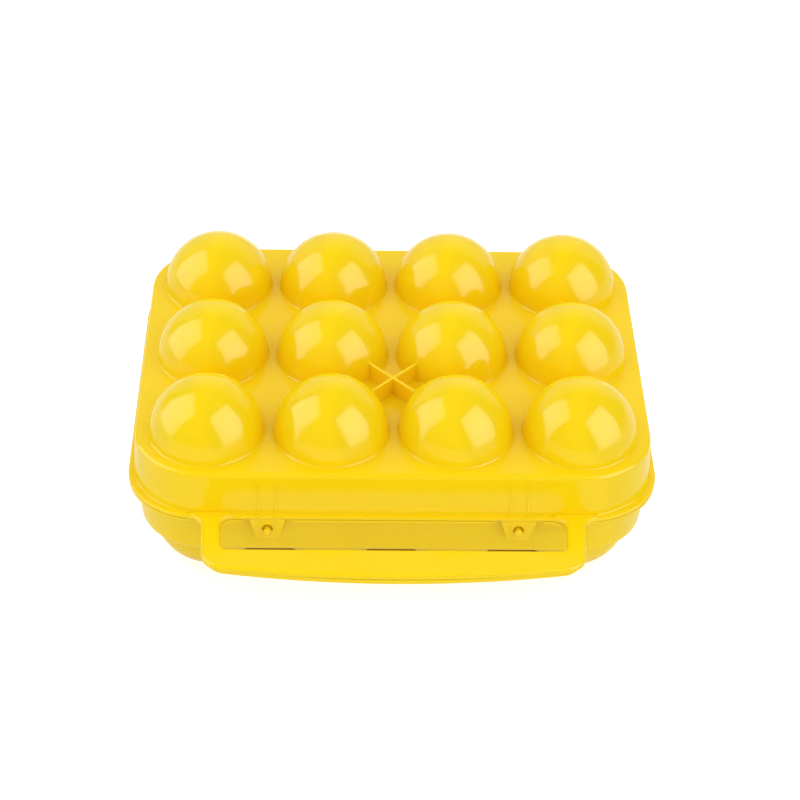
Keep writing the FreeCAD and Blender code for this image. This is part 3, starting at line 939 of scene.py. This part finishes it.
TAB_CORNER_STEPS = 8
HOLE = 2.1
HOLE_EDGE = 0.3
HOLE_STEPS = 40
DRILL_BEYOND = 1.0


def stud(across):
    """A neck with a fillet at its foot, and a ball on it, standing out from the wall."""
    weld = HALF_DEPTH - wall_inset(BASE, -STUD_LEVEL)
    head = RIM_DEPTH + HEAD_LIFT
    back = math.degrees(math.acos(STUD_NECK / STUD_HEAD))
    root = ROOT - BASE.inset
    section = [(0.0, root), (STUD_NECK + STUD_WELD, root)]
    section += arc((STUD_NECK + STUD_WELD, weld + STUD_WELD), STUD_WELD, 270, 180, 5)
    section += arc((0.0, head), STUD_HEAD, -back, 90, HEAD_STEPS)
    return turned("stud", section, STUD_STEPS, at(across, 0, STUD_LEVEL) @ FACING_FRONT)


def notch(across):
    """The block that clears the base's rim behind a tab, leaning with the wall."""
    depth = RIM_TOP + RIM_HOLLOW + NOTCH_BELOW
    wall = HALF_DEPTH + NOTCH_CLEAR
    front = RIM_DEPTH + NOTCH_BEFORE
    outline = [
        (-front, -depth),
        (wall_inset(BASE, depth) - wall, -depth),
        (wall_inset(BASE, 0.0) - wall, 0.0),
        (-front, 0.0)]
    return side_slab("notch", outline, NOTCH_WIDTH, across, 0.0)


def lid_line(across):
    """A raised line down the lid's front wall and over its rim."""
    high = HALF_DEPTH - wall_inset(LID, LINE_TOP)
    low = HALF_DEPTH - wall_inset(LID, RIM_TOP + LINE_PROUD)
    crest = RIM_TOP + LINE_PROUD
    outline = [
        (-ROOT, HALF_GAP),
        (WALL / 2 - high, LINE_TOP),
        (-high - LINE_PROUD, LINE_TOP),
        (-low - LINE_PROUD, crest),
        (LINE_PROUD - RIM_DEPTH, crest),
        (-RIM_DEPTH - LINE_PROUD, crest - LINE_PROUD * 2),
        (-RIM_DEPTH - LINE_PROUD, HALF_GAP)]
    return side_slab("line", outline, LINE_WIDTH, across, LINE_EDGE)


def tab(across):
    """A tapered springy tab with a round hole and the two lines on its face."""
    slope = math.atan2((TAB_TOP - TAB_BOTTOM) / 2, HALF_GAP - TAB_FOOT)
    turn = math.degrees(slope)
    tangent = TAB_CORNER * math.tan(math.radians(90 - turn) / 2)
    corner = (TAB_BOTTOM / 2 - tangent, TAB_FOOT + TAB_CORNER)
    right = arc(corner, TAB_CORNER, 270, 360 - turn, TAB_CORNER_STEPS)
    left = [(-x, z) for x, z in reversed(right)]
    outline = right + [(TAB_TOP / 2, HALF_GAP), (-TAB_TOP / 2, HALF_GAP)] + left
    front = RIM_DEPTH
    back = RIM_DEPTH - TAB_THICK
    place = at(across) @ FACING_FRONT
    plate = slab("tab", outline, soft_levels(back, front, SOFT_EDGE, SOFT_EDGE), place)
    strip = [(-LINE_WIDTH / 2, -LINE_TAIL), (LINE_WIDTH / 2, -LINE_TAIL),
             (LINE_WIDTH / 2, HALF_GAP - LINE_BREAK), (-LINE_WIDTH / 2, HALF_GAP - LINE_BREAK)]
    levels = soft_levels(front - LINE_ROOT, front + LINE_PROUD, 0.0, LINE_EDGE)
    strips = [slab("strip", strip, levels, at(across + side * LINE_SPACING / 2) @ FACING_FRONT)
              for side in HANDS]
    wide = HOLE + HOLE_EDGE
    drill = [(0.0, back - DRILL_BEYOND), (wide, back - DRILL_BEYOND)]
    drill += arc((wide, back + HOLE_EDGE), HOLE_EDGE, 270, 180, SLAB_STEPS)
    drill += arc((wide, front - HOLE_EDGE), HOLE_EDGE, 180, 90, SLAB_STEPS)
    drill += [(wide, front + DRILL_BEYOND), (0.0, front + DRILL_BEYOND)]
    hole = turned("hole", drill, HOLE_STEPS, at(across, 0, STUD_LEVEL) @ FACING_FRONT)
    return joined("tab", plate, strips, [hole])


places = [spot.x for spot in tab_spots.values()]
studs = [stud(across) for across in places]
notches = [notch(across) for across in places]
lines = [lid_line(across + side * LINE_SPACING / 2) for across in places for side in HANDS]
tabs = {name: tab(spot.x) for name, spot in tab_spots.items()}

# %% [markdown]
# ## The cross between the domes
# A thin X of ribs stands on the lid's deck between the four domes nearest the middle of the
# front, where the plastic enters the tool. Its arms run into the domes.

# %% Make the cross
CROSS_RISE = 7.8
CROSS_THICK = 1.2
CROSS_REACH = PITCH / math.sqrt(2) - math.sqrt((DOME - WALL / 2) ** 2 - CROSS_RISE ** 2)


def cross():
    """Two crossed ribs with soft top edges, turned by 45 degrees."""
    half = CROSS_THICK / 2
    arm = [(CROSS_REACH, -half), (CROSS_REACH, half), (half, half)]
    outline = []
    for quarter in range(4):
        spin = Matrix.Rotation(math.radians(90 * quarter), 2)
        outline += [tuple(spin @ Vector(corner)) for corner in arm]
    place = at(0.0, rows[0] + PITCH / 2 - MIDDLE.y) @ Matrix.Rotation(math.radians(45), 4, "Z")
    levels = soft_levels(DECK - WALL / 2, DECK + CROSS_RISE, 0.0, SOFT_EDGE)
    return slab("cross", outline, levels, place)


front_cross = cross()

# %% [markdown]
# ## The two mouldings
# Now all that the lid's tool forms becomes one mesh, and so does all that the base's tool
# forms. The base's rim is cut last, where the tabs hang in front of it.

# %% Join the lid and the base
lid_mesh = joined("lid_case", lid_shell, [lid_handle, front_cross, *claws, *lines])
base_mesh = joined("base_case", base_shell, [base_handle, *hinge_parts, *studs], notches)

# %% [markdown]
# ## The camera
# It stands where the photograph was taken: almost straight in front, 39 degrees up, with a
# slight roll. Its direction and distance were found by matching outlines.

# %% Stand the camera
CAMERA_AIM = Vector((3.886, 0.0, -3.67)) + MIDDLE
CAMERA_AZIMUTH = math.radians(-1.888)
CAMERA_HEIGHT = math.radians(38.784)
CAMERA_ROLL = math.radians(1.697)
CAMERA_AWAY = 924.8
FOCAL_PIXELS = 2165.24
FRAME_PIXELS = 800
SENSOR = 36.0


def from_angles(azimuth, height):
    """The unit vector that points from the case towards this azimuth and height."""
    return Vector((math.sin(azimuth) * math.cos(height),
                   -math.cos(azimuth) * math.cos(height), math.sin(height)))


def stand_camera():
    """The camera at the photograph's place, as a new object."""
    away = from_angles(CAMERA_AZIMUTH, CAMERA_HEIGHT)
    lens = bpy.data.cameras.new("camera")
    lens.sensor_width = SENSOR
    lens.lens = SENSOR * FOCAL_PIXELS / FRAME_PIXELS
    lens.clip_start, lens.clip_end = 0.05, 50.0
    camera = new_object("camera", lens)
    camera.rotation_mode = "QUATERNION"
    roll = Quaternion((0, 0, 1), CAMERA_ROLL)
    camera.rotation_quaternion = (-away).to_track_quat("-Z", "Y") @ roll
    camera.location = (CAMERA_AIM + away * CAMERA_AWAY) / TO_MM
    return camera


bpy.context.scene.camera = stand_camera()
print("camera at", tuple(bpy.context.scene.camera.location))

# %% [markdown]
# ## Softboxes and a card
# Two large softboxes, left and right, make the pairs of bright panes on every dome. The
# shading is much more even than those panes would make it, as in a white tent. So each softbox
# is two lamps in one place: a bright one that only reflections see, and a weak one that only
# lights and shades. A white card stands just behind the case and leaves the pale caps on the
# domes. The caps are wider on the back row than on the front one, which gave the card's place,
# and each fades towards the front, which gave the card's levels from foot to top.

# %% Hang the softboxes and the card
CLOTH_MIDDLE = 1.25
CLOTH_FALL = 0.75
SOFTBOX_AWAY = 1500.0
LIT_GLOW = 1.25
SOFTBOXES = (
    SimpleNamespace(name="left", azimuth=-90, height=33, wide=1530, tall=1950, glow=3.6),
    SimpleNamespace(name="right", azimuth=57, height=31, wide=1590, tall=1950, glow=4.2))
CARD_SPOT = Vector((25, 172, 205))
CARD_WIDE = 610
CARD_TALL = 310
CARD_STOPS = ((0.0, 0.55), (0.23, 0.64), (0.45, 0.6), (0.59, 0.45), (0.73, 0.3), (0.81, 0.17),
              (0.94, 0.05), (1.0, 0.0))
CARD_FACING = Vector((0, -1, 0))


def hang(name, spot, facing, wide, tall, glow, reflected, stops=None):
    """A rectangular area lamp, its spot and sizes in millimetres. It is either seen in
    reflections only, or it only lights and shades. Stops give its brightness from its foot to
    its top. Without them it is a softbox, a little brighter in the middle."""
    lamp = bpy.data.lights.new(name, "AREA")
    lamp.shape = "RECTANGLE"
    lamp.size = wide / TO_MM
    lamp.size_y = tall / TO_MM
    lamp.energy = glow * math.pi * lamp.size * lamp.size_y
    lamp.use_nodes = True
    lamp.node_tree.nodes.clear()
    front = Wire(lamp.node_tree)
    place = front.node("ShaderNodeNewGeometry", None, None, "Parametric")
    if stops:
        height = front.node("ShaderNodeSeparateXYZ", None, {0: place}, "Y")
        level = front.node("ShaderNodeValToRGB", {"stops": stops}, {"Fac": height}, "Color")
    else:
        off = front.node("ShaderNodeVectorMath", {"operation": "DISTANCE"},
                         {0: place, 1: (0.5, 0.5, 0)}, "Value")
        level = CLOTH_MIDDLE - CLOTH_FALL * off
    cloth = front.node("ShaderNodeEmission", None, {"Strength": level})
    leave = lamp.node_tree.nodes.new("ShaderNodeOutputLight")
    lamp.node_tree.links.new(cloth.socket, leave.inputs["Surface"])
    light = new_object(name, lamp)
    light.visible_camera = False
    light.visible_glossy = reflected
    light.visible_diffuse = not reflected
    light.location = (MIDDLE + spot) / TO_MM
    light.rotation_euler = facing.to_track_quat("-Z", "Y").to_euler()
    print(name, "hangs at", tuple(light.location))


for box in SOFTBOXES:
    away = from_angles(math.radians(box.azimuth), math.radians(box.height))
    spot = away * SOFTBOX_AWAY
    hang(f"{box.name}_softbox_seen", spot, -away, box.wide, box.tall, box.glow, True)
    hang(f"{box.name}_softbox_lit", spot, -away, box.wide, box.tall, LIT_GLOW, False)
hang("back_card_seen", CARD_SPOT, CARD_FACING, CARD_WIDE, CARD_TALL, 1.0, True, CARD_STOPS)

# %% [markdown]
# ## The room
# To the camera the room is white, and its even light falls on the case from all round. The
# domes mirror much less of it: a pale backdrop low down, at the sides and behind, and a dark
# room above. A ray's kind tells which of these it meets.

# %% Light the room
ROOM_LEVEL = 0.9
DARK_LEVEL = 0.12
BACKDROP_LEVEL = 0.4
BACKDROP_TOP = 0.14
BACKDROP_FRONT = -0.35
BACKDROP_EDGE = 0.05


def ray_kind(wire, kind):
    """1 for a ray of this kind, else 0."""
    return wire.node("ShaderNodeLightPath", None, None, f"Is {kind} Ray")


def past_edge(distance, width):
    """0 before an edge, 1 from this width behind it, and rising evenly in between."""
    return distance.node(
        "ShaderNodeMath", {"operation": "DIVIDE", "use_clamp": True}, {0: distance, 1: width})


def white_room():
    """The world round the case."""
    world = bpy.data.worlds.new("white_room")
    world.use_nodes = True
    world.node_tree.nodes.clear()
    sky = Wire(world.node_tree)
    aim = sky.node("ShaderNodeTexCoord", None, None, "Generated")
    along, up = (sky.node("ShaderNodeSeparateXYZ", None, {0: aim}, axis) for axis in "YZ")
    inside = sky.maths("MINIMUM", BACKDROP_TOP - up, along - BACKDROP_FRONT)
    backdrop = past_edge(inside, BACKDROP_EDGE)
    mirrored = backdrop * (BACKDROP_LEVEL - DARK_LEVEL) + DARK_LEVEL
    seen = ray_kind(sky, "Camera") + ray_kind(sky, "Transmission")
    room = sky.node("ShaderNodeBackground", None, {
        "Color": (1, 1, 1, 1),
        "Strength": seen * (1 - ROOM_LEVEL) + ray_kind(sky, "Glossy") * (mirrored - ROOM_LEVEL)
        + ROOM_LEVEL})
    leave = world.node_tree.nodes.new("ShaderNodeOutputWorld")
    world.node_tree.links.new(room.socket, leave.inputs["Surface"])
    return world


bpy.context.scene.world = white_room()
print("room lit at", ROOM_LEVEL)

# %% [markdown]
# ## The floor
# The case stands on pale paper. A lift that the camera sees in full, and reflections in part,
# takes the paper to white and keeps the case's soft shadow on it. Under the case the lift ends,
# which paints shade over the rendered shadow. There the paper is painted a warm orange that stands
# for light come through yellow plastic: painted light, not the paper's own colour. Only the
# three thin gaps between the grip and the cups show that.

# %% Lay the floor
FLOOR_SIZE = 6.0
PAPER = (0.84, 0.84, 0.84, 1)
# Painted warm light: the paper's colour under the case stands for light come through yellow plastic.
UNDER_CASE_PAINTED_LIGHT = (0.84, 0.55, 0.10, 1)
PAPER_LIFT = 0.62
MIRROR_SHARE = 0.25
# The box under the case where the lift ends, a painted shade, and the width of its fade.
UNDER_SIDE = 0.071
UNDER_DEPTH = 0.052
UNDER_FADE = 0.008


def white_paper():
    """The floor's paper, with painted shade and painted warm light under the case, where its lift ends."""
    material = bpy.data.materials.new("white_paper")
    material.use_nodes = True
    material.node_tree.nodes.clear()
    sheet = Wire(material.node_tree)
    off = sheet.node(
        "ShaderNodeVectorMath", {"operation": "SUBTRACT"},
        {0: sheet.node("ShaderNodeTexCoord", None, None, "Object"), 1: MIDDLE / TO_MM}, "Vector")
    side, depth = (
        sheet.maths("ABSOLUTE", sheet.node("ShaderNodeSeparateXYZ", None, {0: off}, axis))
        for axis in "XY")
    # clear is 0 under the case: there the lift ends, a painted shade, and the paper takes the painted warm light.
    clear = past_edge(
        sheet.maths("MAXIMUM", side - UNDER_SIDE, depth - UNDER_DEPTH), UNDER_FADE)
    paper_and_painted_light = sheet.node(
        "ShaderNodeMix", {"data_type": "RGBA"}, {"Factor": clear, 6: UNDER_CASE_PAINTED_LIGHT, 7: PAPER}, 2)
    matt = sheet.node("ShaderNodeBsdfDiffuse", None, {"Color": paper_and_painted_light})
    seen = (ray_kind(sheet, "Camera") + ray_kind(sheet, "Transmission")
            + ray_kind(sheet, "Glossy") * MIRROR_SHARE)
    lift = sheet.node("ShaderNodeEmission", None, {
        "Color": (1, 1, 1, 1), "Strength": seen * clear * PAPER_LIFT})
    both = sheet.node("ShaderNodeAddShader", None, {0: matt, 1: lift})
    leave = material.node_tree.nodes.new("ShaderNodeOutputMaterial")
    material.node_tree.links.new(both.socket, leave.inputs["Surface"])
    return material


def floor_mesh():
    """One large square on the plane that the case stands on."""
    reach = FLOOR_SIZE / 2
    corners = [(-reach, -reach, 0), (reach, -reach, 0), (reach, reach, 0), (-reach, reach, 0)]
    mesh = bpy.data.meshes.new("floor")
    mesh.from_pydata(corners, [], [(0, 1, 2, 3)])
    mesh.materials.append(white_paper())
    return mesh


floor = new_object("floor", floor_mesh())
print("floor laid,", FLOOR_SIZE, "m wide")

# %% [markdown]
# ## Putting the pieces in place
# Each mesh goes from millimetres round the middle to metres in the frame, rides on its body,
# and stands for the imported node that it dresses. The piece's own object stays at the origin.

# %% Place the pieces
SETTLE = Matrix.Translation(MIDDLE / TO_MM) @ Matrix.Scale(1 / TO_MM, 4)


def place_piece(name, mesh, body, node):
    """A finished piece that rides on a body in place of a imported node."""
    mesh = shaded(name, mesh)
    mesh.transform(SETTLE)
    piece = new_object(name, mesh)
    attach(piece, body)
    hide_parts(node)
    print(name, "has", len(mesh.polygons), "faces")


place_piece("lid_case", lid_mesh, "cover", "lid")
place_piece("base_case", base_mesh, "base", "base_tray")
for body, mesh in tabs.items():
    place_piece(f"latch_{body}_case", mesh, body, f"latch_{body}")

# %% [markdown]
# ## The view transform
# Colours are shown through the Standard view transform.

# %% Set the view transform
bpy.context.scene.view_settings.view_transform = "Standard"
